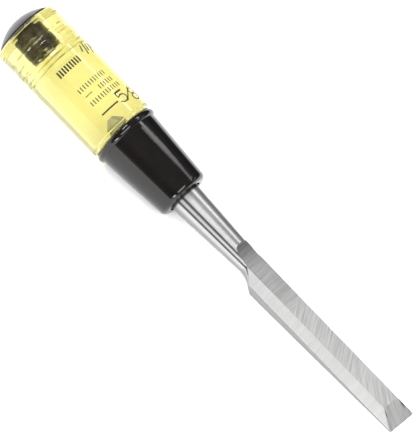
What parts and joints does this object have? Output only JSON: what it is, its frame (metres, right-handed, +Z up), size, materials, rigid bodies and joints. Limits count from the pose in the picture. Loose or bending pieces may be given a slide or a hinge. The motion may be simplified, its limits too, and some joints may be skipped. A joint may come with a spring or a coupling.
{
  "type": "bench chisel",
  "caption": "Bevel-edged bench chisel: ground steel blade on a tapered round neck, clear yellow plastic handle, black tapered ferrule and domed striking cap.",
  "frame": {"origin": "on the bench plane that the chisel lies on, under the middle of its overall length and width", "axes": "+X along the bench from the striking cap towards the cutting edge, +Z up. The bead on the ferrule's rim and the cutting edge touch the bench, so the tool's own axis slopes 4.8 degrees down towards the edge. The flat top of the blade faces up."},
  "size_m": [0.2354, 0.0316, 0.0363],
  "materials": {
    "ground_steel": "ground flats with fine wheel scratches, satin-polished neck",
    "clear_yellow_acetate": "clear tinted, polished",
    "ferrule_plastic": "moulded, glossy",
    "cap_plastic": "moulded, semi-gloss"
  },
  "bodies": {
    "root": {"blade": "ground_steel", "handle": "clear_yellow_acetate", "ferrule": "ferrule_plastic", "striking_cap": "cap_plastic"}
  },
  "joints": []
}
